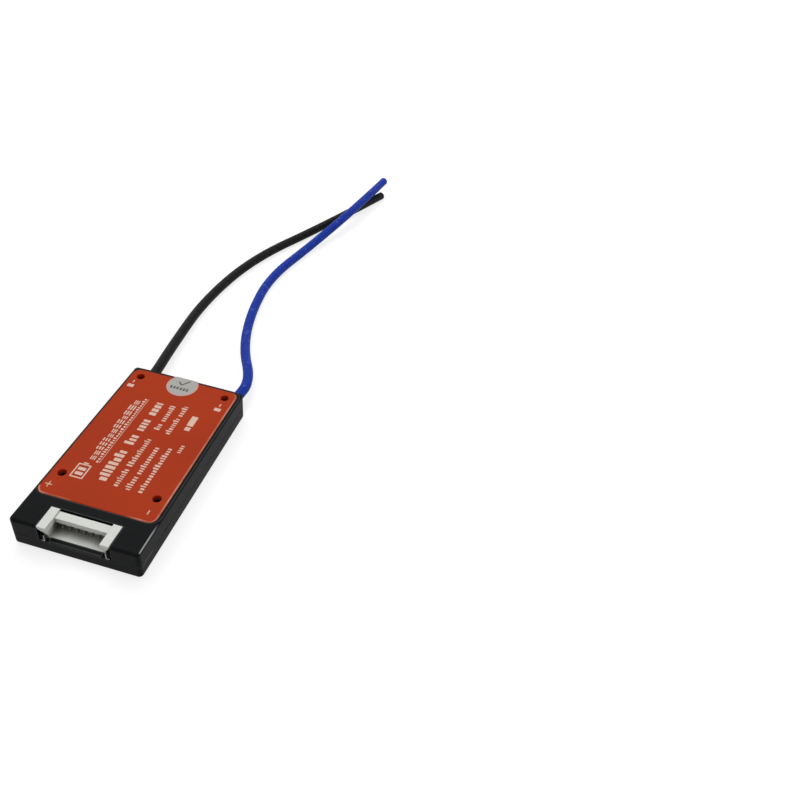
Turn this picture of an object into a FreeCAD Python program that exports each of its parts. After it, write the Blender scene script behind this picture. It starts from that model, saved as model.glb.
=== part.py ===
import FreeCAD, Part
import math
import os
import Sketcher
from FreeCAD import Placement, Rotation, Vector

# Battery management board for a small seven-cell pack, in millimetres.
# Two black moulded shells close round a circuit board. A red coated heat plate lies in the top shell,
# a white eight-way header looks out of the front, and two power leads leave through the rear wall.
# Frame: origin at the middle of the underside, +X to the right, +Y from the header to the leads, +Z up.

# Driving dimensions: name, value, what it is
SIZES = [
    ("body_width", 36.0, "outside width of the case"),
    ("body_length", 66.0, "outside length of the case"),
    ("body_height", 9.5, "outside height of the case"),
    ("parting_height", 4.1, "height of the line where the two shells meet"),
    ("wall", 1.2, "side wall of both shells"),
    ("floor_thickness", 1.2, "floor of the bottom shell"),
    ("deck_thickness", 1.3, "front deck of the top shell"),
    ("corner_radius", 1.2, "upright outer corners of both shells"),
    ("bottom_edge_radius", 1.0, "rounding round the underside"),
    ("top_edge_radius", 0.9, "rounding round the top"),
    ("parting_groove", 0.25, "bevel on each shell at the parting line"),
    ("tongue_thickness", 0.5, "tongue of the bottom shell inside the wall"),
    ("tongue_height", 0.7, "tongue above the parting line"),
    ("fit_gap", 0.1, "clearance between pieces that fit into each other"),
    ("plate_side_margin", 0.55, "heat plate to the side walls' faces"),
    ("deck_length", 10.35, "front deck, from the case's front to the heat plate"),
    ("plate_thickness", 1.5, "heat plate"),
    ("plate_corner_radius", 2.8, "corners of the heat plate"),
    ("plate_rear_margin", 0.35, "rear edge of the heat plate to the rear wall's face"),
    ("plate_proud", 0.05, "heat plate above the case's top"),
    ("plate_edge_bevel", 0.15, "bevel round the heat plate's top"),
    ("seat_width", 2.2, "ledge that carries the heat plate"),
    ("seat_thickness", 1.2, "ledge that carries the heat plate"),
    ("hole_radius", 1.25, "screw holes in the heat plate"),
    ("hole_side_inset", 3.65, "screw holes from the heat plate's sides"),
    ("hole_front_inset", 8.1, "front screw holes from the heat plate's front"),
    ("hole_rear_inset", 3.9, "rear screw holes from the heat plate's rear"),
    ("hole_shift_x", -0.25, "middle of the screw holes from the middle of the case"),
    ("hole_depth", 1.6, "screw holes below the heat plate"),
    ("boss_width", 4.6, "square screw bosses under the heat plate"),
    ("board_thickness", 1.6, "circuit board"),
    ("board_gap", 0.3, "circuit board to the case's walls"),
    ("board_rear_margin", 4.0, "rear edge of the circuit board to the rear wall's face"),
    ("board_corner_radius", 0.8, "corners of the circuit board"),
    ("post_height", 1.4, "posts that carry the circuit board"),
    ("post_width", 2.2, "square posts that carry the circuit board"),
    ("post_side_inset", 3.8, "posts from the case's inner side walls"),
    ("post_end_inset", 7.8, "end posts from the case's inner end walls"),
    ("mouth_end_gap", 0.5, "mouth of the header past the middle of the outer pins"),
    ("header_depth", 5.3, "header housing, floor front to back"),
    ("header_proud", 0.15, "ears of the header above the case's top"),
    ("header_setback", 1.3, "floor of the header behind the case's front"),
    ("header_floor", 0.8, "floor of the header"),
    ("header_back_wall", 1.0, "back wall of the header"),
    ("header_gap", 0.2, "header to the notch in the top shell"),
    ("ear_width", 2.45, "ears of the header"),
    ("ear_flange", 1.0, "front end of each ear's flange"),
    ("ear_edge", 0.4, "outer edge of each ear's flange"),
    ("mouth_recess", 0.35, "recess in the mouth's sides under their lips"),
    ("ear_wall", 0.85, "inner wall of each ear"),
    ("ear_overhang", 0.4, "ears behind the back wall"),
    ("roof_depth", 2.4, "roof of the header, front to back"),
    ("roof_thickness", 1.6, "roof of the header"),
    ("roof_drop", 0.45, "roof below the ears' tops"),
    ("front_lip", 0.8, "lip of the bottom shell under the header's mouth"),
    ("pin_pitch", 2.0, "header pins, centre to centre"),
    ("pin_count", 8, "header pins"),
    ("pin_size", 0.5, "square header pin"),
    ("pin_drop", 0.4, "middle of the pins below the roof"),
    ("pin_reach", 2.4, "pins in front of the back wall"),
    ("pin_leg_gap", 0.45, "upright legs of the pins behind the back wall"),
    ("pin_foot", 1.05, "feet of the pins behind their legs"),
    ("tab_thickness", 0.3, "solder tabs of the header"),
    ("tab_height", 2.2, "solder tabs, up to the slope under the ears"),
    ("tab_foot", 1.0, "feet of the solder tabs"),
    ("tab_length", 4.4, "solder tabs along the ears"),
    ("lead_diameter", 3.3, "power leads over the insulation"),
    ("lead_inset", 3.85, "power leads from the side walls' faces"),
    ("lead_stub", 3.8, "insulation inside the rear wall's face"),
    ("core_diameter", 1.8, "copper strand of the power leads"),
    ("core_length", 3.6, "bared strand that is soldered to the board"),
    ("solder_width", 4.4, "solder joints across"),
    ("solder_length", 3.2, "solder joints along"),
    ("solder_height", 1.5, "solder joints above the circuit board"),
    ("mosfet_width", 6.6, "power transistor bodies across"),
    ("mosfet_length", 6.1, "power transistor bodies along"),
    ("mosfet_leg", 1.6, "legs of the power transistors"),
    ("mosfet_tab", 1.1, "metal tabs of the power transistors"),
    ("mosfet_pitch_x", 9.0, "power transistors, centre to centre across"),
    ("mosfet_pitch_y", 9.2, "power transistors, centre to centre along"),
    ("mosfet_setback", 13.0, "middle of the power transistors from the board's rear"),
    ("metal_thickness", 0.5, "legs and tabs of the power transistors"),
    ("pad_thickness", 1.55, "thermal pad between the power transistors and the heat plate"),
    ("pad_margin", 1.5, "thermal pad past the power transistors along the case"),
    ("pad_side_gap", 1.45, "thermal pad to the ledge at each side"),
    ("shunt_width", 6.4, "current sensing resistors across"),
    ("shunt_length", 3.2, "current sensing resistors along"),
    ("shunt_height", 0.7, "current sensing resistors"),
    ("shunt_pitch", 8.0, "current sensing resistors, centre to centre"),
    ("shunt_setback", 24.5, "current sensing resistors from the board's rear"),
    ("chip_width", 6.5, "protection chip across"),
    ("chip_length", 4.4, "protection chip along"),
    ("chip_height", 1.1, "protection chip"),
    ("chip_advance", 20.3, "protection chip from the board's front"),
    ("chip_leg_pitch", 0.65, "legs of the protection chip"),
    ("chip_leg_width", 0.25, "legs of the protection chip"),
    ("chip_leg_length", 0.95, "legs of the protection chip"),
    ("chip_legs", 10, "legs along each side of the protection chip"),
    ("cell_count", 7, "cells that the board balances"),
    ("cell_row_gap", 0.75, "rows of balance parts to the screw bosses at their ends"),
    ("bleed_width", 1.6, "balance resistors across"),
    ("bleed_length", 3.2, "balance resistors along"),
    ("bleed_height", 0.6, "balance resistors"),
    ("bleed_advance", 11.4, "balance resistors from the board's front"),
    ("switch_width", 1.3, "balance transistor bodies across"),
    ("switch_length", 2.9, "balance transistor bodies along"),
    ("switch_height", 1.0, "balance transistors"),
    ("switch_advance", 15.1, "balance transistors from the board's front"),
    ("end_cap", 0.6, "metal ends of the resistors"),
    ("sticker_diameter", 9.6, "round inspection sticker"),
    ("sticker_thickness", 0.1, "round inspection sticker"),
    ("sticker_x", -0.5, "middle of the sticker across"),
    ("sticker_setback", 3.7, "middle of the sticker from the rear wall's face"),
]

# Routes of the two free leads from the rear wall to their cut ends, chosen by hand.
# Across is from the middle of the lead's hole, along is from the wall's face, up is from the table.
# Each lead runs straight out of its hole first and then comes down to the table.
BLACK_ROUTE = [
    (0, 3.2, 4.1), (-2.25, 19.1, 2.8), (-4.75, 50.7, 1.65), (0.65, 84.7, 1.65),
    (17.15, 119.4, 1.65), (32.35, 157.3, 1.65),
]
BLUE_ROUTE = [
    (0, 1.4, 4.1), (0.95, 12.1, 4.1), (-9.15, 29.9, 1.9), (-14.85, 50.8, 1.65), (-16.95, 74.6, 1.65),
    (-10.85, 101.3, 1.65), (-1.25, 130.5, 6.3), (3.05, 164.0, 5.5),
]
ARC_SHARE = 0.45  # share of the shorter run that each arc of a lead takes up
TOLERANCE = 1e-6

doc = FreeCAD.newDocument("battery_management_board")
sheet = doc.addObject("Spreadsheet::Sheet", "Sizes")
for row, (alias, number, meaning) in enumerate(SIZES, start=1):
    sheet.set(f"A{row}", meaning)
    sheet.set(f"B{row}", str(number))
    sheet.setAlias(f"B{row}", alias)
doc.recompute()
parts = []


def size(alias):
    """The number that a cell of the sheet holds."""
    return float(sheet.get(alias))


# Levels and places that several pieces share, as expressions over the sheet
HALF_WIDTH = "(Sizes.body_width / 2)"
HALF_LENGTH = "(Sizes.body_length / 2)"
INNER_X = f"({HALF_WIDTH} - Sizes.wall)"
INNER_Y = f"({HALF_LENGTH} - Sizes.wall)"
BOARD_UNDERSIDE = "(Sizes.floor_thickness + Sizes.post_height)"
BOARD_TOP = f"({BOARD_UNDERSIDE} + Sizes.board_thickness)"
BOARD_REAR = f"({HALF_LENGTH} - Sizes.board_rear_margin)"
BOARD_FRONT = f"(-{INNER_Y} + Sizes.board_gap)"
PLATE_SEAT = "(Sizes.body_height + Sizes.plate_proud - Sizes.plate_thickness)"
PLATE_REAR = f"({HALF_LENGTH} - Sizes.plate_rear_margin)"
PLATE_FRONT = f"(-{HALF_LENGTH} + Sizes.deck_length)"
PLATE_X = f"({HALF_WIDTH} - Sizes.plate_side_margin)"
WINDOW_X = f"({PLATE_X} - Sizes.seat_width)"
HOLE_X = f"({PLATE_X} - Sizes.hole_side_inset)"
SEAT_UNDERSIDE = f"({PLATE_SEAT} - Sizes.seat_thickness)"
HEADER_FRONT = f"(-{HALF_LENGTH} + Sizes.header_setback)"
HEADER_BACK = f"({HEADER_FRONT} + Sizes.header_depth)"
HEADER_TOP = "(Sizes.body_height + Sizes.header_proud)"
EAR_BACK = f"({HEADER_BACK} + Sizes.ear_overhang)"
MOUTH_X = "(Sizes.pin_pitch * (Sizes.pin_count - 1) / 2 + Sizes.mouth_end_gap)"
HEADER_X = f"({MOUTH_X} + Sizes.ear_width)"
SLOT_X = f"({MOUTH_X} + Sizes.ear_wall)"
NOTCH_X = f"({HEADER_X} + Sizes.header_gap)"
ROOF_TOP = f"({HEADER_TOP} - Sizes.roof_drop)"
ROOF_UNDERSIDE = f"({ROOF_TOP} - Sizes.roof_thickness)"
FLANGE_UNDERSIDE = f"({HEADER_TOP} - Sizes.ear_flange)"
SLOPE_FOOT = f"({BOARD_TOP} + Sizes.tab_height)"
PIN_LEVEL = f"({ROOF_UNDERSIDE} - Sizes.pin_drop)"
LEAD_X = f"({HALF_WIDTH} - Sizes.lead_inset)"
CORE_START = f"({HALF_LENGTH} - Sizes.lead_stub)"
MARGIN = "1"  # how far a cutting outline runs past the solid that it opens


def keep(obj, name):
    """Gives a finished piece its name and puts it on the list of pieces to write."""
    obj.Label = name
    parts.append(obj)
    return obj


def new_body(name):
    return keep(doc.addObject("PartDesign::Body", name), name)


def new_sketch(body, plane, offset="0"):
    """A sketch on one of the body's own origin planes, moved along the plane's normal."""
    sketch = body.newObject("Sketcher::SketchObject", f"{body.Name}_sketch")
    support = [face for face in body.Origin.OriginFeatures if face.Role == plane]
    sketch.AttachmentSupport = [(support[0], "")]
    sketch.MapMode = "FlatFace"
    sketch.setExpression("AttachmentOffset.Base.z", offset)
    return sketch


def fix_point(sketch, geometry, point, across, up):
    """Holds a point of the sketch at two expressions, measured from the sketch's origin."""
    for kind, expression in (("DistanceX", across), ("DistanceY", up)):
        index = sketch.addConstraint(Sketcher.Constraint(kind, -1, 1, geometry, point, 1.0))
        sketch.setExpression(f"Constraints[{index}]", expression)


def outline(sketch, corners):
    """A closed outline of straight lines through corners given as pairs of expressions."""
    count = len(corners)
    turn = 2 * math.pi / count
    start = [Vector(20 * math.cos(i * turn), 20 * math.sin(i * turn), 0) for i in range(count)]
    lines = [
        sketch.addGeometry(Part.LineSegment(start[i], start[(i + 1) % count])) for i in range(count)
    ]
    for i in range(count):
        sketch.addConstraint(Sketcher.Constraint("Coincident", lines[i], 2, lines[(i + 1) % count], 1))
    for line, (across, up) in zip(lines, corners):
        fix_point(sketch, line, 1, across, up)


def rectangle(sketch, left, right, low, high):
    outline(sketch, [(left, low), (right, low), (right, high), (left, high)])


def rounded_rectangle(sketch, left, right, low, high, radius):
    """A closed outline with four round corners: first its four sides, then arcs between their ends."""
    near_left, near_right = f"({left}) + ({radius})", f"({right}) - ({radius})"
    near_low, near_high = f"({low}) + ({radius})", f"({high}) - ({radius})"
    sides = [
        ((near_left, low), (near_right, low)),
        ((right, near_low), (right, near_high)),
        ((near_right, high), (near_left, high)),
        ((left, near_high), (left, near_low)),
    ]
    lines = []
    for start, end in sides:
        lines.append(sketch.addGeometry(Part.LineSegment(Vector(-10, 0, 0), Vector(10, 0, 0))))
        fix_point(sketch, lines[-1], 1, start[0], start[1])
        fix_point(sketch, lines[-1], 2, end[0], end[1])
    doc.recompute()
    for i in range(4):
        after = lines[(i + 1) % 4]
        begin = sketch.Geometry[lines[i]].EndPoint
        end = sketch.Geometry[after].StartPoint
        centre = Vector(begin.x, end.y, 0) if i % 2 == 0 else Vector(end.x, begin.y, 0)
        ring = Part.Circle(centre, Vector(0, 0, 1), begin.distanceToPoint(centre))
        start_angle = math.radians(90 * i - 90)
        arc = sketch.addGeometry(Part.ArcOfCircle(ring, start_angle, start_angle + math.pi / 2))
        sketch.addConstraint(Sketcher.Constraint("Coincident", lines[i], 2, arc, 1))
        sketch.addConstraint(Sketcher.Constraint("Coincident", arc, 2, after, 1))
        index = sketch.addConstraint(Sketcher.Constraint("DistanceX", -1, 1, arc, 3, centre.x))
        sketch.setExpression(f"Constraints[{index}]", near_right if i < 2 else near_left)


def circle(sketch, across, up, radius):
    ring = sketch.addGeometry(Part.Circle(Vector(1, 1, 0), Vector(0, 0, 1), 1.0))
    fix_point(sketch, ring, 3, across, up)
    index = sketch.addConstraint(Sketcher.Constraint("Radius", ring, 1.0))
    sketch.setExpression(f"Constraints[{index}]", radius)


def pad(body, sketch, length, reverse=False, both_ways=False):
    """Adds material from a sketch, along the sketch's normal unless reversed."""
    feature = body.newObject("PartDesign::Pad", f"{body.Name}_pad")
    feature.Profile = sketch
    feature.Reversed = reverse
    if both_ways:
        feature.SideType = "Symmetric"
    feature.setExpression("Length", length)
    doc.recompute()
    return feature


def pocket(body, sketch, length, reverse=False):
    """Takes material away against the sketch's normal, and checks that some went."""
    before = body.Shape.Volume
    feature = body.newObject("PartDesign::Pocket", f"{body.Name}_pocket")
    feature.Profile = sketch
    feature.Reversed = reverse
    feature.setExpression("Length", length)
    doc.recompute()
    if not body.Shape.Volume < before - TOLERANCE:
        raise RuntimeError(f"{feature.Name} cuts nothing")
    return feature


def edge_names(body, wanted):
    """The names of the body's edges that a test on both ends of an edge picks out."""
    names = []
    for number, edge in enumerate(body.Shape.Edges, start=1):
        if wanted(edge.firstVertex().Point, edge.lastVertex().Point):
            names.append(f"Edge{number}")
    return names


def dress(body, kind, wanted, amount):
    """A fillet or chamfer on the edges that the test picks out."""
    base = (body.Tip, edge_names(body, wanted))
    feature = body.newObject(f"PartDesign::{kind}", f"{body.Name}_{kind.lower()}")
    feature.Base = base
    feature.setExpression("Radius" if kind == "Fillet" else "Size", amount)
    doc.recompute()
    return feature


def level_at(height):
    """A test for edges that lie flat at one height."""
    return lambda a, b: abs(a.z - height) < TOLERANCE and abs(b.z - height) < TOLERANCE


def block(name, centre_x, centre_y, bottom, across, along, height):
    """A box given by the middle of its underside and its three sizes, all as expressions."""
    box = doc.addObject("Part::Box", name)
    box.setExpression("Length", across)
    box.setExpression("Width", along)
    box.setExpression("Height", height)
    box.setExpression("Placement.Base.x", f"({centre_x}) - ({across}) / 2")
    box.setExpression("Placement.Base.y", f"({centre_y}) - ({along}) / 2")
    box.setExpression("Placement.Base.z", bottom)
    return box


def fuse(name, shapes):
    joined = doc.addObject("Part::MultiFuse", name)
    joined.Shapes = shapes
    joined.Refine = True
    return keep(joined, name)


def cut_lead_exits(body):
    """The round way out through the rear wall for each lead, half of it in each shell."""
    sketch = new_sketch(body, "XZ_Plane", f"-({CORE_START} - Sizes.fit_gap)")
    for side in ("-", ""):
        circle(sketch, f"{side}{LEAD_X}", "Sizes.parting_height", "Sizes.lead_diameter / 2 + Sizes.fit_gap")
    pocket(body, sketch, f"Sizes.lead_stub + Sizes.fit_gap + {MARGIN}")


# Bottom shell: a moulded tray with posts for the board and a tongue that locates the top shell
bottom = new_body("bottom_shell")
sketch = new_sketch(bottom, "XY_Plane", "Sizes.parting_height")
rounded_rectangle(
    sketch, f"-{HALF_WIDTH}", HALF_WIDTH, f"-{HALF_LENGTH}", HALF_LENGTH, "Sizes.corner_radius"
)
pad(bottom, sketch, "Sizes.parting_height", reverse=True)
dress(bottom, "Fillet", level_at(0.0), "Sizes.bottom_edge_radius")
dress(bottom, "Chamfer", level_at(size("parting_height")), "Sizes.parting_groove")
sketch = new_sketch(bottom, "XY_Plane", "Sizes.parting_height")
rectangle(sketch, f"-{INNER_X}", INNER_X, f"-{INNER_Y}", INNER_Y)
pocket(bottom, sketch, "Sizes.parting_height - Sizes.floor_thickness")
sketch = new_sketch(bottom, "XY_Plane", "Sizes.floor_thickness")
for column in ("-", ""):
    for line in (-1, 0, 1):
        post_x = f"{column}({INNER_X} - Sizes.post_side_inset)"
        post_y = f"{line} * ({INNER_Y} - Sizes.post_end_inset)"
        rectangle(
            sketch, f"{post_x} - Sizes.post_width / 2", f"{post_x} + Sizes.post_width / 2",
            f"{post_y} - Sizes.post_width / 2", f"{post_y} + Sizes.post_width / 2",
        )
pad(bottom, sketch, "Sizes.post_height")
sketch = new_sketch(bottom, "XY_Plane", "Sizes.parting_height")
tongue_x = f"({INNER_X} + Sizes.tongue_thickness)"
tongue_y = f"({INNER_Y} + Sizes.tongue_thickness)"
rectangle(sketch, f"-{tongue_x}", tongue_x, f"-{tongue_y}", tongue_y)
rectangle(sketch, f"-{INNER_X}", INNER_X, f"-{INNER_Y}", INNER_Y)
pad(bottom, sketch, "Sizes.tongue_height")
sketch = new_sketch(bottom, "XY_Plane", "Sizes.parting_height")
rectangle(
    sketch, f"-({NOTCH_X} + Sizes.fit_gap)", f"{NOTCH_X} + Sizes.fit_gap",
    f"-{HALF_LENGTH} - {MARGIN}", f"-{INNER_Y} + {MARGIN}",
)
pocket(bottom, sketch, "Sizes.tongue_height", reverse=True)
sketch = new_sketch(bottom, "XY_Plane", "Sizes.parting_height")
lip_x = f"({MOUTH_X} - Sizes.header_gap)"
rectangle(sketch, f"-{lip_x}", lip_x, f"-{HALF_LENGTH}", f"-{INNER_Y}")
pad(bottom, sketch, "Sizes.front_lip")
cut_lead_exits(bottom)

# Top shell: the moulded frame round the heat plate, with the front deck and the header's notch
top = new_body("top_shell")
sketch = new_sketch(top, "XY_Plane", "Sizes.parting_height")
rounded_rectangle(
    sketch, f"-{HALF_WIDTH}", HALF_WIDTH, f"-{HALF_LENGTH}", HALF_LENGTH, "Sizes.corner_radius"
)
pad(top, sketch, "Sizes.body_height - Sizes.parting_height")
dress(top, "Fillet", level_at(size("body_height")), "Sizes.top_edge_radius")
dress(top, "Chamfer", level_at(size("parting_height")), "Sizes.parting_groove")
recess_x = f"({PLATE_X} + Sizes.fit_gap)"
sketch = new_sketch(top, "XY_Plane", PLATE_SEAT)
rounded_rectangle(
    sketch, f"-{recess_x}", recess_x, f"{PLATE_FRONT} - Sizes.fit_gap", f"{PLATE_REAR} + Sizes.fit_gap",
    "Sizes.plate_corner_radius + Sizes.fit_gap",
)
pocket(top, sketch, f"Sizes.plate_thickness + {MARGIN}", reverse=True)
sketch = new_sketch(top, "XY_Plane", "Sizes.parting_height")
rectangle(sketch, f"-{INNER_X}", INNER_X, f"-{INNER_Y}", INNER_Y)
pocket(top, sketch, f"{SEAT_UNDERSIDE} - Sizes.parting_height", reverse=True)
sketch = new_sketch(top, "XY_Plane", PLATE_SEAT)
rectangle(
    sketch, f"-{WINDOW_X}", WINDOW_X,
    f"{PLATE_FRONT} + Sizes.seat_width", f"{PLATE_REAR} - Sizes.seat_width",
)
pocket(top, sketch, "Sizes.seat_thickness")
sketch = new_sketch(top, "XY_Plane", SEAT_UNDERSIDE)
rectangle(sketch, f"-{INNER_X}", INNER_X, f"-{INNER_Y}", f"{PLATE_FRONT} - Sizes.wall")
pocket(top, sketch, f"Sizes.body_height - Sizes.deck_thickness - {SEAT_UNDERSIDE}", reverse=True)
sketch = new_sketch(top, "XY_Plane", "Sizes.parting_height")
rebate_x = f"({INNER_X} + Sizes.tongue_thickness + Sizes.fit_gap)"
rebate_y = f"({INNER_Y} + Sizes.tongue_thickness + Sizes.fit_gap)"
rectangle(sketch, f"-{rebate_x}", rebate_x, f"-{rebate_y}", rebate_y)
pocket(top, sketch, "Sizes.tongue_height + Sizes.fit_gap", reverse=True)
boss_places = []
for boss_y in (f"{PLATE_FRONT} + Sizes.hole_front_inset", f"{PLATE_REAR} - Sizes.hole_rear_inset"):
    for side in ("-", "+"):
        boss_places.append((f"Sizes.hole_shift_x {side} {HOLE_X}", boss_y))
front_bosses = new_sketch(top, "XY_Plane", PLATE_SEAT)
rear_bosses = new_sketch(top, "XY_Plane", PLATE_SEAT)
for holder, places in ((front_bosses, boss_places[:2]), (rear_bosses, boss_places[2:])):
    for across, along in places:
        rectangle(
            holder, f"{across} - Sizes.boss_width / 2", f"{across} + Sizes.boss_width / 2",
            f"{along} - Sizes.boss_width / 2", f"{along} + Sizes.boss_width / 2",
        )
pad(top, front_bosses, f"{PLATE_SEAT} - {BOARD_TOP}", reverse=True)
lead_top = "(Sizes.parting_height + Sizes.lead_diameter / 2)"
pad(top, rear_bosses, f"{PLATE_SEAT} - {lead_top} - 2 * Sizes.fit_gap", reverse=True)
sketch = new_sketch(top, "XY_Plane", PLATE_SEAT)
for across, along in boss_places:
    circle(sketch, across, along, "Sizes.hole_radius")
pocket(top, sketch, "Sizes.hole_depth")
sketch = new_sketch(top, "XY_Plane", f"Sizes.body_height + {MARGIN}")
rectangle(
    sketch, f"-{NOTCH_X}", NOTCH_X, f"-{HALF_LENGTH} - {MARGIN}", f"{EAR_BACK} + Sizes.header_gap"
)
pocket(top, sketch, f"Sizes.body_height - Sizes.parting_height + 2 * {MARGIN}")
cut_lead_exits(top)

# Heat plate: coated aluminium sheet with four screw holes
plate = new_body("heatsink_plate")
sketch = new_sketch(plate, "XY_Plane", PLATE_SEAT)
rounded_rectangle(sketch, f"-{PLATE_X}", PLATE_X, PLATE_FRONT, PLATE_REAR, "Sizes.plate_corner_radius")
pad(plate, sketch, "Sizes.plate_thickness")
plate_top = size("body_height") + size("plate_proud")
dress(plate, "Chamfer", level_at(plate_top), "Sizes.plate_edge_bevel")
sketch = new_sketch(plate, "XY_Plane", f"{PLATE_SEAT} + Sizes.plate_thickness")
for across, along in boss_places:
    circle(sketch, across, along, "Sizes.hole_radius")
pocket(plate, sketch, "Sizes.plate_thickness")

# Circuit board: rests on the bottom shell's posts, notched at the rear for the leads' bared ends
board = new_body("circuit_board")
sketch = new_sketch(board, "XY_Plane", BOARD_UNDERSIDE)
board_x = f"({INNER_X} - Sizes.board_gap)"
rounded_rectangle(sketch, f"-{board_x}", board_x, BOARD_FRONT, BOARD_REAR, "Sizes.board_corner_radius")
pad(board, sketch, "Sizes.board_thickness")
sketch = new_sketch(board, "XY_Plane", BOARD_TOP)
notch_half = "(Sizes.core_diameter / 2 + Sizes.fit_gap)"
for side in ("-", ""):
    rectangle(
        sketch, f"{side}{LEAD_X} - {notch_half}", f"{side}{LEAD_X} + {notch_half}",
        f"{CORE_START} - Sizes.core_length - Sizes.fit_gap", f"{BOARD_REAR} + {MARGIN}",
    )
pocket(board, sketch, "Sizes.board_thickness")

# Header housing: a nylon shroud whose ears stand above the roof and reach the case's front
housing = new_body("header_housing")
sketch = new_sketch(housing, "XY_Plane", BOARD_TOP)
rectangle(sketch, f"-{HEADER_X}", HEADER_X, HEADER_FRONT, HEADER_BACK)
pad(housing, sketch, f"{ROOF_TOP} - {BOARD_TOP}")
sketch = new_sketch(housing, "XY_Plane", FLANGE_UNDERSIDE)
rectangle(sketch, f"-{HEADER_X}", f"-{MOUTH_X}", f"-{HALF_LENGTH}", EAR_BACK)
rectangle(sketch, MOUTH_X, HEADER_X, f"-{HALF_LENGTH}", EAR_BACK)
pad(housing, sketch, "Sizes.ear_flange")
sketch = new_sketch(housing, "XY_Plane", FLANGE_UNDERSIDE)
rectangle(sketch, f"-{HEADER_X}", f"-{MOUTH_X}", f"-{HALF_LENGTH}", HEADER_FRONT)
rectangle(sketch, MOUTH_X, HEADER_X, f"-{HALF_LENGTH}", HEADER_FRONT)
pad(housing, sketch, f"{FLANGE_UNDERSIDE} - {BOARD_TOP} - Sizes.tab_thickness", reverse=True)
sketch = new_sketch(housing, "XY_Plane", ROOF_UNDERSIDE)
mouth_back = f"({HEADER_BACK} - Sizes.header_back_wall)"
mouth_side = f"({MOUTH_X} + Sizes.mouth_recess)"
rectangle(sketch, f"-{mouth_side}", mouth_side, f"-{HALF_LENGTH} - {MARGIN}", mouth_back)
pocket(housing, sketch, f"{ROOF_UNDERSIDE} - {BOARD_TOP} - Sizes.header_floor")
sketch = new_sketch(housing, "XY_Plane", ROOF_UNDERSIDE)
rectangle(
    sketch, f"-{MOUTH_X}", MOUTH_X, f"-{HALF_LENGTH} - {MARGIN}", f"{HEADER_BACK} - Sizes.roof_depth"
)
pocket(housing, sketch, f"Sizes.roof_thickness + {MARGIN}", reverse=True)
slot_back = f"(-{HALF_LENGTH} + Sizes.fit_gap + Sizes.tab_length + 2 * Sizes.fit_gap)"
for side in ("-", ""):
    sketch = new_sketch(housing, "XZ_Plane", f"{HALF_LENGTH} + {MARGIN}")
    outline(sketch, [
        (f"{side}{SLOT_X}", f"{BOARD_TOP} - {MARGIN}"),
        (f"{side}({HEADER_X} + {MARGIN})", f"{BOARD_TOP} - {MARGIN}"),
        (f"{side}({HEADER_X} + {MARGIN})", f"{HEADER_TOP} - Sizes.ear_edge"),
        (f"{side}{HEADER_X}", f"{HEADER_TOP} - Sizes.ear_edge"),
        (f"{side}{SLOT_X}", SLOPE_FOOT),
    ])
    pocket(housing, sketch, f"{slot_back} + {HALF_LENGTH} + {MARGIN}")
sketch = new_sketch(housing, "YZ_Plane", f"-{HEADER_X} - {MARGIN}")
outline(sketch, [
    (f"-{HALF_LENGTH} - {MARGIN}", f"{BOARD_TOP} - {MARGIN}"),
    (HEADER_FRONT, f"{BOARD_TOP} - {MARGIN}"),
    (HEADER_FRONT, f"{BOARD_TOP} + Sizes.header_floor"),
    (f"-{HALF_LENGTH}", FLANGE_UNDERSIDE),
    (f"-{HALF_LENGTH} - {MARGIN}", FLANGE_UNDERSIDE),
])
pocket(housing, sketch, f"2 * ({HEADER_X} + {MARGIN})", reverse=True)
first_pin = "(-Sizes.pin_pitch * (Sizes.pin_count - 1) / 2)"
sketch = new_sketch(housing, "XZ_Plane", f"-{mouth_back}")
rectangle(
    sketch, f"{first_pin} - Sizes.pin_size / 2", f"{first_pin} + Sizes.pin_size / 2",
    f"{PIN_LEVEL} - Sizes.pin_size / 2", f"{PIN_LEVEL} + Sizes.pin_size / 2",
)
pin_hole = pocket(housing, sketch, "Sizes.header_back_wall")
pin_holes = housing.newObject("PartDesign::LinearPattern", "pin_holes")
pin_holes.Originals = [pin_hole]
pin_holes.Direction = ([axis for axis in housing.Origin.OriginFeatures if axis.Role == "X_Axis"][0], [""])
pin_holes.setExpression("Length", "Sizes.pin_pitch * (Sizes.pin_count - 1)")
pin_holes.setExpression("Occurrences", "Sizes.pin_count")
housing.Tip = pin_holes
doc.recompute()


def header_pin(number):
    """One square wire: a straight contact, an upright leg behind the housing and a foot on the board."""
    body = new_body(f"header_pin_{number + 1}")
    half = "Sizes.pin_size / 2"
    tip = f"({mouth_back} - Sizes.pin_reach)"
    leg_front = f"({HEADER_BACK} + Sizes.pin_leg_gap)"
    leg_back = f"({leg_front} + Sizes.pin_size)"
    foot_end = f"({leg_back} + Sizes.pin_foot)"
    profile = new_sketch(body, "YZ_Plane", f"{first_pin} + {number} * Sizes.pin_pitch")
    outline(profile, [
        (tip, f"{PIN_LEVEL} - {half}"),
        (leg_front, f"{PIN_LEVEL} - {half}"),
        (leg_front, BOARD_TOP),
        (foot_end, BOARD_TOP),
        (foot_end, f"{BOARD_TOP} + Sizes.pin_size"),
        (leg_back, f"{BOARD_TOP} + Sizes.pin_size"),
        (leg_back, f"{PIN_LEVEL} + {half}"),
        (tip, f"{PIN_LEVEL} + {half}"),
    ])
    pad(body, profile, "Sizes.pin_size", both_ways=True)
    tip_y = body.Shape.BoundBox.YMin
    on_tip = lambda a, b: abs(a.y - tip_y) < TOLERANCE and abs(b.y - tip_y) < TOLERANCE
    dress(body, "Chamfer", on_tip, "Sizes.pin_size / 4")


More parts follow.
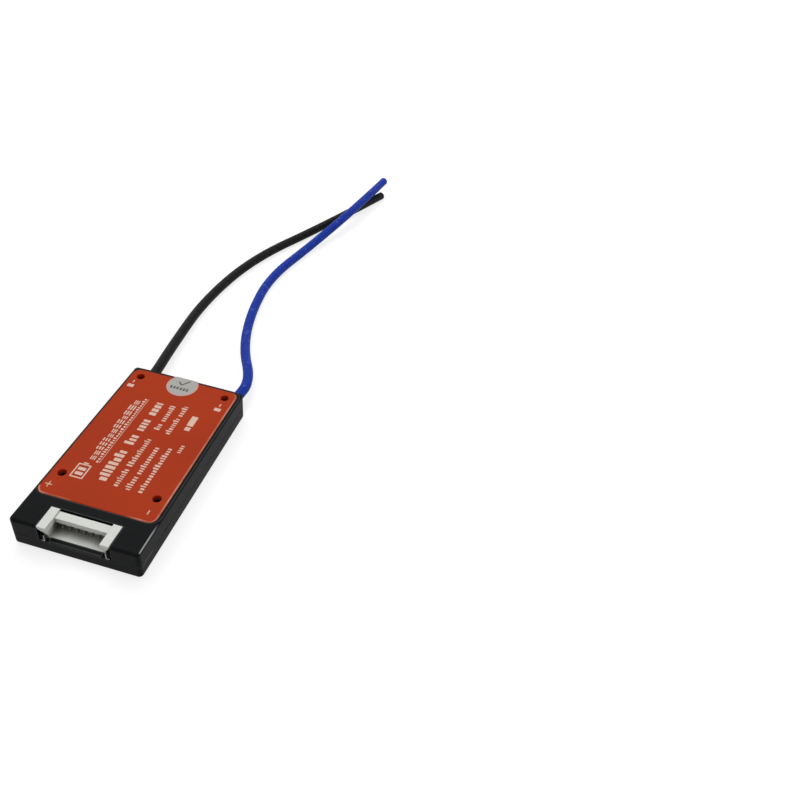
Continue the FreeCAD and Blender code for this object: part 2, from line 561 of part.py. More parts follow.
def solder_tab(name, side):
    """A thin metal angle under the slope of one ear: its web stands on a foot that lies on the board."""
    body = new_body(name)
    web = f"({SLOT_X} + Sizes.fit_gap)"
    web_outer = f"({web} + Sizes.tab_thickness)"
    foot_outer = f"({web} + Sizes.tab_foot)"
    foot_top = f"({BOARD_TOP} + Sizes.tab_thickness)"
    profile = new_sketch(body, "XZ_Plane", f"{HALF_LENGTH} - Sizes.fit_gap")
    outline(profile, [
        (f"{side}{web}", BOARD_TOP),
        (f"{side}{foot_outer}", BOARD_TOP),
        (f"{side}{foot_outer}", foot_top),
        (f"{side}{web_outer}", foot_top),
        (f"{side}{web_outer}", SLOPE_FOOT),
        (f"{side}{web}", SLOPE_FOOT),
    ])
    pad(body, profile, "Sizes.tab_length", reverse=True)


for number in range(int(size("pin_count"))):
    header_pin(number)
solder_tab("header_tab_left", "-")
solder_tab("header_tab_right", "")


PAD_UNDERSIDE = f"({PLATE_SEAT} - Sizes.pad_thickness)"
MOSFET_Y = f"({BOARD_REAR} - Sizes.mosfet_setback)"


def power_transistor(name, centre_x, centre_y):
    """A moulded body with a metal tab at its rear and two flat legs at its front."""
    rear_edge = f"({centre_y} + Sizes.mosfet_length / 2)"
    front_edge = f"({centre_y} - Sizes.mosfet_length / 2)"
    pieces = [block(
        f"{name}_case", centre_x, centre_y, BOARD_TOP,
        "Sizes.mosfet_width", "Sizes.mosfet_length", f"{PAD_UNDERSIDE} - {BOARD_TOP}",
    )]
    pieces.append(block(
        f"{name}_drain", centre_x, f"{rear_edge} + Sizes.mosfet_tab / 2", BOARD_TOP,
        "0.8 * Sizes.mosfet_width", "Sizes.mosfet_tab", "Sizes.metal_thickness",
    ))
    for side in ("-", "+"):
        pieces.append(block(
            f"{name}_leg", f"{centre_x} {side} Sizes.mosfet_width / 3",
            f"{front_edge} - Sizes.mosfet_leg / 2", BOARD_TOP,
            "Sizes.mosfet_width / 8", "Sizes.mosfet_leg", "Sizes.metal_thickness",
        ))
    fuse(name, pieces)


def capped_resistor(name, centre_x, centre_y, across, along, height):
    """A ceramic chip whose two metal ends stand a little proud of it."""
    film = "0.05"
    pieces = [block(
        f"{name}_chip", centre_x, centre_y, BOARD_TOP,
        f"{across} - 2 * {film}", along, f"{height} - {film}",
    )]
    for side in ("-", "+"):
        pieces.append(block(
            f"{name}_end", centre_x, f"{centre_y} {side} ({along} - Sizes.end_cap) / 2", BOARD_TOP,
            across, "Sizes.end_cap", height,
        ))
    fuse(name, pieces)


# Power transistors in two rows, under one thermal pad that carries their heat to the plate
transistor_number = 0
for line in ("-", "+"):
    for column in (-1, 0, 1):
        transistor_number += 1
        power_transistor(
            f"mosfet_{transistor_number}",
            f"({column} * Sizes.mosfet_pitch_x)",
            f"({MOSFET_Y} {line} Sizes.mosfet_pitch_y / 2)",
        )
pad_x = f"(2 * ({WINDOW_X} - Sizes.pad_side_gap))"
pad_y = "(Sizes.mosfet_pitch_y + Sizes.mosfet_length + 2 * Sizes.pad_margin)"
thermal_pad = block("thermal_pad", "0", MOSFET_Y, PAD_UNDERSIDE, pad_x, pad_y, "Sizes.pad_thickness")
keep(thermal_pad, "thermal_pad")

# Current sensing resistors in front of the power transistors
for column in (-1, 0, 1):
    capped_resistor(
        f"shunt_resistor_{column + 2}",
        f"({column} * Sizes.shunt_pitch)", f"({BOARD_REAR} - Sizes.shunt_setback)",
        "Sizes.shunt_width", "Sizes.shunt_length", "Sizes.shunt_height",
    )

# Protection chip with a row of legs along each side
chip_y = f"({BOARD_FRONT} + Sizes.chip_advance)"
chip_parts = [block(
    "chip_case", "0", chip_y, BOARD_TOP,
    "Sizes.chip_width", "Sizes.chip_length", "Sizes.chip_height",
)]
for side in ("-", "+"):
    for leg in range(int(size("chip_legs"))):
        chip_parts.append(block(
            "chip_leg",
            f"({leg} - (Sizes.chip_legs - 1) / 2) * Sizes.chip_leg_pitch",
            f"{chip_y} {side} (Sizes.chip_length + Sizes.chip_leg_length) / 2",
            BOARD_TOP, "Sizes.chip_leg_width", "Sizes.chip_leg_length", "Sizes.chip_leg_width",
        ))
fuse("protection_chip", chip_parts)

# One balance resistor and one balance transistor for each cell, spread between the front screw bosses
row_half = f"({HOLE_X} + Sizes.hole_shift_x - Sizes.boss_width / 2 - Sizes.cell_row_gap)"
cell_pitch = f"(2 * {row_half} / Sizes.cell_count)"
bleed_y = f"({BOARD_FRONT} + Sizes.bleed_advance)"
switch_y = f"({BOARD_FRONT} + Sizes.switch_advance)"
for cell in range(int(size("cell_count"))):
    centre = f"(({cell} - (Sizes.cell_count - 1) / 2) * {cell_pitch})"
    capped_resistor(
        f"balance_resistor_{cell + 1}", centre, bleed_y,
        "Sizes.bleed_width", "Sizes.bleed_length", "Sizes.bleed_height",
    )
    pieces = [block(
        f"switch_{cell}_case", centre, switch_y, BOARD_TOP,
        "Sizes.switch_width", "Sizes.switch_length", "Sizes.switch_height",
    )]
    for side, along in (
        ("-", f"{switch_y} - Sizes.switch_length / 3"), ("-", f"{switch_y} + Sizes.switch_length / 3"),
        ("+", switch_y),
    ):
        pieces.append(block(
            f"switch_{cell}_leg", f"{centre} {side} (Sizes.switch_width / 2 + Sizes.switch_width / 5)", along,
            BOARD_TOP, "2 * Sizes.switch_width / 5", "Sizes.switch_length / 7", "Sizes.switch_height / 6",
        ))
    fuse(f"balance_transistor_{cell + 1}", pieces)


def solder_joint(name, side):
    """The saddle of solder over a lead's bared end, where it sits in its notch of the board."""
    body = new_body(name)
    centre = f"{side}{LEAD_X}"
    solder_top = f"({BOARD_TOP} + Sizes.solder_height)"
    profile = new_sketch(body, "XZ_Plane", f"-({BOARD_REAR} - Sizes.fit_gap)")
    outline(profile, [
        (f"{centre} - Sizes.solder_width / 2", BOARD_TOP),
        (f"{centre} + Sizes.solder_width / 2", BOARD_TOP),
        (f"{centre} + Sizes.solder_width / 4", solder_top),
        (f"{centre} - Sizes.solder_width / 4", solder_top),
    ])
    pad(body, profile, "Sizes.solder_length")
    top_level = body.Shape.BoundBox.ZMax
    dress(body, "Fillet", level_at(top_level), "Sizes.solder_height / 4")
    joint_front = f"({BOARD_REAR} - Sizes.fit_gap - Sizes.solder_length)"
    profile = new_sketch(body, "XZ_Plane", f"-({joint_front} - {MARGIN})")
    circle(profile, centre, "Sizes.parting_height", "Sizes.core_diameter / 2")
    pocket(body, profile, f"Sizes.solder_length + 2 * {MARGIN}")


def lead_core(name, side):
    """The bared strand inside the case, from the insulation's end into the solder."""
    core = doc.addObject("Part::Cylinder", name)
    core.setExpression("Radius", "Sizes.core_diameter / 2")
    core.setExpression("Height", "Sizes.core_length")
    core.Placement = Placement(Vector(0, 0, 0), Rotation(Vector(1, 0, 0), 90))
    core.setExpression("Placement.Base.x", f"{side}{LEAD_X}")
    core.setExpression("Placement.Base.y", CORE_START)
    core.setExpression("Placement.Base.z", "Sizes.parting_height")
    keep(core, name)


def rounded_path(points):
    """Straight runs joined by tangent arcs, each arc as large as its two runs allow."""
    edges = []
    start = points[0]
    for before, corner, after in zip(points, points[1:], points[2:]):
        inward = (corner - before).normalize()
        outward = (after - corner).normalize()
        turn = inward.getAngle(outward)
        reach = ARC_SHARE * min((corner - before).Length, (after - corner).Length)
        radius = reach / math.tan(turn / 2)
        entry = corner - inward * reach
        leave = corner + outward * reach
        centre = corner + (outward - inward).normalize() * math.hypot(radius, reach)
        middle = centre + (corner - centre).normalize() * radius
        edges.append(Part.LineSegment(start, entry).toShape())
        edges.append(Part.Arc(entry, middle, leave).toShape())
        print(f"  turn {math.degrees(turn):5.1f} degrees, radius {radius:7.1f} mm")
        start = leave
    edges.append(Part.LineSegment(start, points[-1]).toShape())
    return Part.Wire(edges)


def power_lead(name, side, route):
    """A free lead: a round tube along its route, from its bared strand to its cut end."""
    print(name)
    lead_x = side * (size("body_width") / 2 - size("lead_inset"))
    wall_face = size("body_length") / 2
    points = [Vector(lead_x, wall_face - size("lead_stub"), size("parting_height"))]
    for across, along, up in route:
        points.append(Vector(lead_x + across, wall_face + along, up))
    points[1].z = size("parting_height")
    path = rounded_path(points)
    first = Part.Wire([Part.Circle(points[0], points[1] - points[0], size("lead_diameter") / 2).toShape()])
    lead = doc.addObject("Part::Feature", name)
    lead.Shape = path.makePipeShell([first], True, True)
    section = math.pi * size("lead_diameter") ** 2 / 4
    share = lead.Shape.Volume / (section * path.Length)
    print(f"  length {path.Length:.1f} mm, volume over section times length {share:.4f}")
    keep(lead, name)


for colour, sign, side, route in (("black", "-", -1, BLACK_ROUTE), ("blue", "", 1, BLUE_ROUTE)):
    solder_joint(f"{colour}_lead_solder", sign)
    lead_core(f"{colour}_lead_core", sign)
    power_lead(f"{colour}_lead", side, route)


def sticker_shape():
    """A round foil sticker that lies on the plate and folds down over the case's rear edge."""
    radius = size("sticker_diameter") / 2
    thickness = size("sticker_thickness")
    top_level = size("body_height") + size("plate_proud")
    plate_rear = size("body_length") / 2 - size("plate_rear_margin")
    wall_face = size("body_length") / 2
    shoulder = size("body_height") - size("top_edge_radius") / 2
    sticker_y = wall_face - size("sticker_setback")
    overrun = sticker_y + radius - plate_rear
    tip = top_level - overrun
    outer = [
        Vector(0, sticker_y - 2 * radius, top_level),
        Vector(0, plate_rear, top_level),
        Vector(0, wall_face, shoulder),
        Vector(0, wall_face, tip - radius),
    ]
    path = Part.makePolygon(outer)
    sheet_line = path.makeOffset2D(thickness, openResult=True, join=0)
    if sheet_line.BoundBox.YMax < wall_face + TOLERANCE:
        sheet_line = path.makeOffset2D(-thickness, openResult=True, join=0)
    ends = [
        Part.makePolygon([path.OrderedVertexes[i].Point, sheet_line.OrderedVertexes[i].Point]).Edges[0]
        for i in (0, -1)
    ]
    profile = Part.Face(Part.Wire(Part.sortEdges(path.Edges + sheet_line.Edges + ends)[0]))
    band = profile.extrude(Vector(4 * radius, 0, 0))
    band.translate(Vector(size("sticker_x") - 2 * radius, 0, 0))
    flat_cutter = Part.makeCylinder(radius, 2, Vector(size("sticker_x"), sticker_y, top_level - 1))
    fold_centre = Vector(size("sticker_x"), plate_rear - 1, tip + radius)
    fold_cutter = Part.makeCylinder(radius, 4, fold_centre, Vector(0, 1, 0))
    corner = Vector(-4 * radius, plate_rear, top_level - 4 * radius)
    side_box = Part.makeBox(8 * radius, 8 * radius, 8 * radius, corner)
    flat = band.cut(side_box).common(flat_cutter)
    fold = band.common(side_box).common(fold_cutter)
    return flat.fuse(fold)


sticker = doc.addObject("Part::Feature", "inspection_sticker")
sticker.Shape = sticker_shape()
keep(sticker, "inspection_sticker")

# Checks that every object built, then writes one file for each piece
doc.recompute()
for obj in doc.Objects:
    if "Invalid" in obj.State or "Error" in obj.State:
        raise RuntimeError(f"{obj.Label} failed: {obj.State}")
os.makedirs("parts", exist_ok=True)
for obj in parts:
    if obj.Shape.isNull() or not obj.Shape.isValid():
        raise RuntimeError(f"{obj.Label} has no valid shape")
    obj.Shape.exportStep(f"parts/{obj.Label}.step")
    box = obj.Shape.BoundBox
    print(
        f"{obj.Label}: solids {len(obj.Shape.Solids)}, volume {obj.Shape.Volume:.2f}, "
        f"x {box.XMin:.2f} {box.XMax:.2f}, y {box.YMin:.2f} {box.YMax:.2f}, z {box.ZMin:.2f} {box.ZMax:.2f}"
    )
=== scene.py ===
import math
import random

import bmesh
import bpy
from mathutils import Matrix, Vector


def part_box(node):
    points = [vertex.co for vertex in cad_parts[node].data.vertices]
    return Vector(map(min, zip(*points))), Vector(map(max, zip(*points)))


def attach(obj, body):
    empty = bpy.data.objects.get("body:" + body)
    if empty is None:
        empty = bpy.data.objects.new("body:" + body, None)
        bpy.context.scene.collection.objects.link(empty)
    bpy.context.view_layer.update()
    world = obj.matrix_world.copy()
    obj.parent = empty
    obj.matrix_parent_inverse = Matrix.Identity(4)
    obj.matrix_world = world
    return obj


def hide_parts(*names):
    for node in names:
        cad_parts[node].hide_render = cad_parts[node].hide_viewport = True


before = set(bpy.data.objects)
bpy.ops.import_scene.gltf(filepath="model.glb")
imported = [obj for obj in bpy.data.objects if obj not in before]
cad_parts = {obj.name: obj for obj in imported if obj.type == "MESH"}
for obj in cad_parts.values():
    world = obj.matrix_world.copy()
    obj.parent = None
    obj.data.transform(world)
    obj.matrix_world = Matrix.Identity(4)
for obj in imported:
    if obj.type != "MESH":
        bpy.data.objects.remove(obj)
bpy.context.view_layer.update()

# Table, light and camera: a pale table under soft studio lamps, seen from above the right front corner.
# The camera stands where the photograph was taken from, with a normal lens and no shift.
CAMERA_PLACE = Vector((0.096817, -0.144305, 0.178132))
CAMERA_RIGHT = Vector((0.961768, 0.254179, 0.101958))
CAMERA_DOWN = Vector((0.242329, -0.616399, -0.749218))
CAMERA_FORWARD = Vector((-0.127589, 0.745282, -0.654428))
FOCAL_PIXELS = 822.8
FRAME_PIXELS = 800

photo_camera = bpy.data.cameras.new("photo_camera")
photo_camera.sensor_width = 36.0
photo_camera.lens = photo_camera.sensor_width * FOCAL_PIXELS / FRAME_PIXELS
photo_camera.clip_start = 0.01
photo_camera.clip_end = 20.0
camera_object = bpy.data.objects.new("photo_camera", photo_camera)
turned = Matrix((CAMERA_RIGHT, -CAMERA_DOWN, -CAMERA_FORWARD)).transposed()
camera_object.matrix_world = Matrix.Translation(CAMERA_PLACE) @ turned.to_4x4()
bpy.context.scene.collection.objects.link(camera_object)
bpy.context.scene.camera = camera_object
bpy.context.scene.view_settings.view_transform = "Standard"


def colour(red, green, blue):
    """A paint colour from 0 to 255, as the linear values that a shader takes."""
    def linear(value):
        value /= 255
        return value / 12.92 if value <= 0.04045 else ((value + 0.055) / 1.055) ** 2.4
    return (linear(red), linear(green), linear(blue), 1.0)


def link(material_or_tree, *pairs):
    """Joins sockets in pairs: each first one feeds the second."""
    tree = getattr(material_or_tree, "node_tree", material_or_tree)
    for start, end in pairs:
        tree.links.new(start, end)


def background_rays(tree):
    """1 where the background is seen, straight or in a reflection, and 0 where it lights the part."""
    path = tree.nodes.new("ShaderNodeLightPath")
    seen = path.outputs["Is Camera Ray"]
    for ray in ("Is Glossy Ray", "Is Transmission Ray"):
        either = tree.nodes.new("ShaderNodeMath")
        either.operation = "MAXIMUM"
        link(tree, (seen, either.inputs[0]), (path.outputs[ray], either.inputs[1]))
        seen = either.outputs[0]
    return seen


TABLE_REACH = 3.0
TABLE_GLOW = 0.75
table_mesh = bpy.data.meshes.new("table")
table_corners = [(x * TABLE_REACH, y * TABLE_REACH, 0) for x, y in ((-1, -1), (1, -1), (1, 1), (-1, 1))]
table_mesh.from_pydata(table_corners, [], [(0, 1, 2, 3)])
table = bpy.data.objects.new("table", table_mesh)
bpy.context.scene.collection.objects.link(table)
table_paint = bpy.data.materials.new("table_paint")
table_paint.use_nodes = True
paint = table_paint.node_tree.nodes["Principled BSDF"]
paint.inputs["Base Color"].default_value = colour(176, 176, 176)
paint.inputs["Roughness"].default_value = 0.9
paint.inputs["Specular IOR Level"].default_value = 0.1
paint.inputs["Emission Color"].default_value = (1.0, 1.0, 1.0, 1.0)
glow = table_paint.node_tree.nodes.new("ShaderNodeMath")
glow.operation = "MULTIPLY"
glow.inputs[1].default_value = TABLE_GLOW
link(
    table_paint,
    (background_rays(table_paint.node_tree), glow.inputs[0]),
    (glow.outputs[0], paint.inputs["Emission Strength"]),
)
table_mesh.materials.append(table_paint)

ROOM_LIGHT = 0.3
room = bpy.data.worlds.new("room")
room.use_nodes = True
bpy.context.scene.world = room
room_nodes = room.node_tree.nodes
room_strength = room_nodes.new("ShaderNodeMapRange")
room_strength.inputs["To Min"].default_value = ROOM_LIGHT
room_strength.inputs["To Max"].default_value = 1.0
link(
    room,
    (background_rays(room.node_tree), room_strength.inputs["Value"]),
    (room_strength.outputs["Result"], room_nodes["Background"].inputs["Strength"]),
)
room_nodes["Background"].inputs["Color"].default_value = (1.0, 1.0, 1.0, 1.0)

# name, place, point it is aimed at, width, height, watts
LAMPS = [
    ("key_lamp", (-0.25, 0.35, 0.8), (0.0, 0.03, 0.0), 0.7, 0.7, 3.6),
    ("right_lamp", (0.8, 0.1, 0.35), (0.0, 0.03, 0.0), 0.5, 0.3, 1.1),
    ("front_lamp", (0.25, -0.9, 0.75), (0.0, -0.03, 0.0), 0.6, 0.3, 0.8),
]
for lamp_name, place, target, width, height, watts in LAMPS:
    lamp = bpy.data.lights.new(lamp_name, "AREA")
    lamp.shape = "RECTANGLE"
    lamp.size = width
    lamp.size_y = height
    lamp.energy = watts
    lamp_object = bpy.data.objects.new(lamp_name, lamp)
    lamp_object.location = place
    aim = Vector(target) - Vector(place)
    lamp_object.rotation_euler = aim.to_track_quat("-Z", "Y").to_euler()
    bpy.context.scene.collection.objects.link(lamp_object)

# Power leads: stranded copper in soft silicone insulation, black and blue, soldered to the board.
# Each leaves its round hole in the rear wall, drops to the table and ends in a square cut.
MM = 0.001
LEAD_DIAMETER = 3.3 * MM
STRAND_DIAMETER = 0.26 * MM
STRAND_RINGS = 4
STRAND_SIDES = 10
STRAND_FOOT = 0.48 * STRAND_DIAMETER
STRAND_TIP = 0.46 * STRAND_DIAMETER
# The cut is uneven: a strand stands from one step back to part of a step out, and is a few steps long
STRAND_STEP = 0.04 * MM
STRAND_STANDS = (-1, 0.6)
STRAND_LENGTH = 4 * STRAND_STEP
BLACK_ROUTE = [
    (-0.01415, 0.0292, 0.0041), (-0.01415, 0.0362, 0.0041), (-0.0164, 0.0521, 0.0028),
    (-0.0189, 0.0837, 0.00165), (-0.0135, 0.1177, 0.00165), (0.0030, 0.1524, 0.00165),
    (0.0182, 0.1903, 0.00165),
]
BLUE_ROUTE = [
    (0.01415, 0.0292, 0.0041), (0.01415, 0.0344, 0.0041), (0.0151, 0.0451, 0.0041),
    (0.0050, 0.0629, 0.0019), (-0.0007, 0.0838, 0.00165), (-0.0028, 0.1076, 0.00165),
    (0.0033, 0.1343, 0.00165), (0.0129, 0.1635, 0.0063), (0.0172, 0.1970, 0.0055),
]


def plain_material(name, metallic=0.0):
    """A material with one Principled shader, which is returned with it."""
    material = bpy.data.materials.new(name)
    material.use_nodes = True
    shader = material.node_tree.nodes["Principled BSDF"]
    shader.inputs["Metallic"].default_value = metallic
    return material, shader


def surface_grain_group():
    """Fine grain in the surface, for the roughness and the bump, and a slow cloud for the colour."""
    group = bpy.data.node_groups.new("surface_grain", "ShaderNodeTree")
    for socket in ("Grain Size", "Cloud Size", "Roughness", "Spread"):
        group.interface.new_socket(socket, in_out="INPUT", socket_type="NodeSocketFloat")
    for socket in ("Roughness", "Height", "Cloud"):
        group.interface.new_socket(socket, in_out="OUTPUT", socket_type="NodeSocketFloat")
    inside = group.nodes.new("NodeGroupInput")
    outside = group.nodes.new("NodeGroupOutput")
    place = group.nodes.new("ShaderNodeTexCoord")

    def noise(size, detail):
        over = group.nodes.new("ShaderNodeMath")
        over.operation = "DIVIDE"
        over.inputs[0].default_value = 1.0
        texture = group.nodes.new("ShaderNodeTexNoise")
        texture.inputs["Detail"].default_value = detail
        link(
            group,
            (size, over.inputs[1]),
            (over.outputs[0], texture.inputs["Scale"]),
            (place.outputs["Object"], texture.inputs["Vector"]),
        )
        return texture.outputs["Fac"]

    grain = noise(inside.outputs["Grain Size"], 4.0)
    cloud = noise(inside.outputs["Cloud Size"], 3.0)
    centred = group.nodes.new("ShaderNodeMath")
    centred.operation = "SUBTRACT"
    centred.inputs[1].default_value = 0.5
    rough = group.nodes.new("ShaderNodeMath")
    rough.operation = "MULTIPLY_ADD"
    link(
        group,
        (grain, centred.inputs[0]),
        (centred.outputs[0], rough.inputs[0]),
        (inside.outputs["Spread"], rough.inputs[1]),
        (inside.outputs["Roughness"], rough.inputs[2]),
        (rough.outputs[0], outside.inputs["Roughness"]),
        (grain, outside.inputs["Height"]),
        (cloud, outside.inputs["Cloud"]),
    )
    return group


def place_group(material, group, values):
    """One copy of a shared effect in a material, with that material's own values."""
    node = material.node_tree.nodes.new("ShaderNodeGroup")
    node.node_tree = group
    for name, value in values.items():
        node.inputs[name].default_value = value
    return node


def mix_colours(material, factor, first, second):
    """A colour between two others, or between a socket's colour and another."""
    mix = material.node_tree.nodes.new("ShaderNodeMix")
    mix.data_type = "RGBA"
    # This node has sockets of one name for each type of data, so they go by number
    factor_socket, first_socket, second_socket = mix.inputs[0], mix.inputs[6], mix.inputs[7]
    mixed_colour = mix.outputs[2]
    for socket, value in ((first_socket, first), (second_socket, second)):
        if isinstance(value, bpy.types.NodeSocket):
            link(material, (value, socket))
        else:
            socket.default_value = value
    link(material, (factor, factor_socket))
    return mixed_colour


def scaled(material, value, amount):
    """A mask made weaker by a fixed amount."""
    times = material.node_tree.nodes.new("ShaderNodeMath")
    times.operation = "MULTIPLY"
    times.inputs[1].default_value = amount
    link(material, (value, times.inputs[0]))
    return times.outputs[0]


def dress_shader(material, shader, base, grain, depth, strength):
    """Gives a shader its colour, and the grain's roughness and relief, whose depth is in metres."""
    relief = material.node_tree.nodes.new("ShaderNodeBump")
    relief.inputs["Distance"].default_value = depth
    relief.inputs["Strength"].default_value = strength
    link(
        material,
        (base, shader.inputs["Base Color"]),
        (grain.outputs["Roughness"], shader.inputs["Roughness"]),
        (grain.outputs["Height"], relief.inputs["Height"]),
        (relief.outputs["Normal"], shader.inputs["Normal"]),
    )


def dust_group():
    """A mask of small specks of dust, sparse and of different sizes."""
    group = bpy.data.node_groups.new("dust", "ShaderNodeTree")
    for socket in ("Speck Spacing", "Speck Share"):
        group.interface.new_socket(socket, in_out="INPUT", socket_type="NodeSocketFloat")
    group.interface.new_socket("Mask", in_out="OUTPUT", socket_type="NodeSocketFloat")
    inside = group.nodes.new("NodeGroupInput")
    outside = group.nodes.new("NodeGroupOutput")
    place = group.nodes.new("ShaderNodeTexCoord")
    over = group.nodes.new("ShaderNodeMath")
    over.operation = "DIVIDE"
    over.inputs[0].default_value = 1.0
    cells = group.nodes.new("ShaderNodeTexVoronoi")
    near = group.nodes.new("ShaderNodeMath")
    near.operation = "LESS_THAN"
    size = group.nodes.new("ShaderNodeSeparateColor")
    share = group.nodes.new("ShaderNodeMath")
    share.operation = "MULTIPLY"
    link(
        group,
        (inside.outputs["Speck Spacing"], over.inputs[1]),
        (over.outputs[0], cells.inputs["Scale"]),
        (place.outputs["Object"], cells.inputs["Vector"]),
        (cells.outputs["Color"], size.inputs["Color"]),
        (size.outputs["Red"], share.inputs[0]),
        (inside.outputs["Speck Share"], share.inputs[1]),
        (cells.outputs["Distance"], near.inputs[0]),
        (share.outputs[0], near.inputs[1]),
        (near.outputs[0], outside.inputs["Mask"]),
    )
    return group


surface_grain = surface_grain_group()
dust = dust_group()


def silicone(name, dark, light, powder):
    """Soft silicone insulation: satin, with faint shallow creases and a few powdery specks."""
    material, shader = plain_material(name)
    shader.inputs["Specular IOR Level"].default_value = 0.09
    creases = place_group(
        material, surface_grain,
        {"Grain Size": 2.4 * MM, "Cloud Size": 3.5 * MM, "Roughness": 0.5, "Spread": 0.3},
    )
    specks = place_group(material, dust, {"Speck Spacing": 1.9 * MM, "Speck Share": 0.34})
    dusty = scaled(material, specks.outputs["Mask"], amount=0.2)
    base = mix_colours(material, creases.outputs["Cloud"], dark, light)
    base = mix_colours(material, dusty, base, powder)
    dress_shader(material, shader, base, creases, depth=0.35 * MM, strength=0.8)
    return material


def metal(name, dark, light, roughness):
    """Plated or bare metal, a little uneven in colour and shine."""
    material, shader = plain_material(name, metallic=1.0)
    grain = place_group(
        material, surface_grain,
        {"Grain Size": 0.15 * MM, "Cloud Size": 1 * MM, "Roughness": roughness, "Spread": 0.3},
    )
    base = mix_colours(material, grain.outputs["Cloud"], dark, light)
    dress_shader(material, shader, base, grain, depth=0.01 * MM, strength=0.5)
    return material


def strand_ends(name, route, material):
    """The cut ends of the fine copper strands, packed in rings in the middle of the lead."""
    end, before = Vector(route[-1]), Vector(route[-2])
    turn = (end - before).to_track_quat("Z", "Y").to_matrix().to_4x4()
    shuffle = random.Random(name)
    mesh = bmesh.new()
    for ring in range(STRAND_RINGS):
        in_ring = max(1, 6 * ring)
        for i in range(in_ring):
            angle = 2 * math.pi * i / in_ring
            reach = ring * STRAND_DIAMETER
            step = STRAND_STEP * shuffle.uniform(*STRAND_STANDS)
            place = Matrix.Translation((reach * math.cos(angle), reach * math.sin(angle), step))
            bmesh.ops.create_cone(
                mesh, cap_ends=True, segments=STRAND_SIDES, radius1=STRAND_FOOT, radius2=STRAND_TIP,
                depth=STRAND_LENGTH, matrix=Matrix.Translation(end) @ turn @ place,
            )
    data = bpy.data.meshes.new(name)
    mesh.to_mesh(data)
    mesh.free()
    data.materials.append(material)
    strands = bpy.data.objects.new(name, data)
    bpy.context.scene.collection.objects.link(strands)
    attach(strands, "root")
    return strands


def power_lead(name, route, material):
    """A free lead on its smooth line, with its cut end closed round the strands."""
    line = bpy.data.curves.new(name, "CURVE")
    line.dimensions = "3D"
    line.resolution_u = 16
    line.bevel_depth = LEAD_DIAMETER / 2
    line.bevel_resolution = 7
    line.use_fill_caps = True
    spline = line.splines.new("NURBS")
    spline.points.add(len(route) - 1)
    for point, place in zip(spline.points, route):
        point.co = (*place, 1.0)
    spline.order_u = 3
    spline.use_endpoint_u = True
    line.materials.append(material)
    lead = bpy.data.objects.new(f"{name}_insulation", line)
    bpy.context.scene.collection.objects.link(lead)
    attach(lead, "root")
    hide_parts(name)
    strand_ends(f"{name}_strand_ends", route, bare_copper)
    return lead


black_silicone = silicone(
    "black_silicone", colour(14, 15, 16), colour(28, 28, 29), colour(78, 78, 78)
)
blue_silicone = silicone(
    "blue_silicone", colour(20, 48, 156), colour(38, 72, 186), colour(140, 156, 214)
)
bare_copper = metal("bare_copper", colour(176, 112, 76), colour(206, 146, 108), roughness=0.35)
power_lead("black_lead", BLACK_ROUTE, black_silicone)
power_lead("blue_lead", BLUE_ROUTE, blue_silicone)

# Case: two satin black shells, injection moulded, closed round the board at the parting line.
# The grain is fine and even, the edges are rubbed a little paler and carry a painted highlight, a
# stronger painted highlight runs along the right top edge by the front corner, and a few specks of dust
# lie on it.


def edge_wear_and_sheen_group():
    """A mask that is 1 along outside edges and 0 on flats, broken up as rubbed edges are."""
    group = bpy.data.node_groups.new("edge_wear_and_sheen", "ShaderNodeTree")
    for socket in ("Width", "Gain", "Patch Size"):
        group.interface.new_socket(socket, in_out="INPUT", socket_type="NodeSocketFloat")
    group.interface.new_socket("Mask", in_out="OUTPUT", socket_type="NodeSocketFloat")
    inside = group.nodes.new("NodeGroupInput")
    outside = group.nodes.new("NodeGroupOutput")
    rounded = group.nodes.new("ShaderNodeBevel")
    rounded.samples = 6
    surface = group.nodes.new("ShaderNodeNewGeometry")
    along = group.nodes.new("ShaderNodeVectorMath")
    along.operation = "DOT_PRODUCT"
    turned_by = group.nodes.new("ShaderNodeMath")
    turned_by.operation = "SUBTRACT"
    turned_by.inputs[0].default_value = 1.0
    gained = group.nodes.new("ShaderNodeMath")
    gained.operation = "MULTIPLY"
    place = group.nodes.new("ShaderNodeTexCoord")
    over = group.nodes.new("ShaderNodeMath")
    over.operation = "DIVIDE"
    over.inputs[0].default_value = 1.0
    patches = group.nodes.new("ShaderNodeTexNoise")
    patches.inputs["Detail"].default_value = 3.0
    broken = group.nodes.new("ShaderNodeMath")
    broken.operation = "MULTIPLY"
    broken.use_clamp = True
    link(
        group,
        (inside.outputs["Width"], rounded.inputs["Radius"]),
        (rounded.outputs["Normal"], along.inputs[0]),
        (surface.outputs["Normal"], along.inputs[1]),
        (along.outputs["Value"], turned_by.inputs[1]),
        (turned_by.outputs[0], gained.inputs[0]),
        (inside.outputs["Gain"], gained.inputs[1]),
        (inside.outputs["Patch Size"], over.inputs[1]),
        (over.outputs[0], patches.inputs["Scale"]),
        (place.outputs["Object"], patches.inputs["Vector"]),
        (gained.outputs[0], broken.inputs[0]),
        (patches.outputs["Fac"], broken.inputs[1]),
        (broken.outputs[0], outside.inputs["Mask"]),
    )
    return group


edge_wear_and_sheen = edge_wear_and_sheen_group()


def faded(material, value, start, full):
    """A mask that rises smoothly from 0 to 1 as a value goes from one amount to another."""
    fade = material.node_tree.nodes.new("ShaderNodeMapRange")
    fade.interpolation_type = "SMOOTHSTEP"
    fade.inputs["From Min"].default_value = start
    fade.inputs["From Max"].default_value = full
    link(material, (value, fade.inputs["Value"]))
    return fade.outputs["Result"]


def joined(material, operation, first, second):
    """Two masks made one, by a Math node's operation."""
    node = material.node_tree.nodes.new("ShaderNodeMath")
    node.operation = operation
    link(material, (first, node.inputs[0]), (second, node.inputs[1]))
    return node.outputs[0]


def finish_node(node_name, material):
    """Gives a piece that comes from the frame its finish."""
    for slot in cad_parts[node_name].material_slots:
        slot.material = material
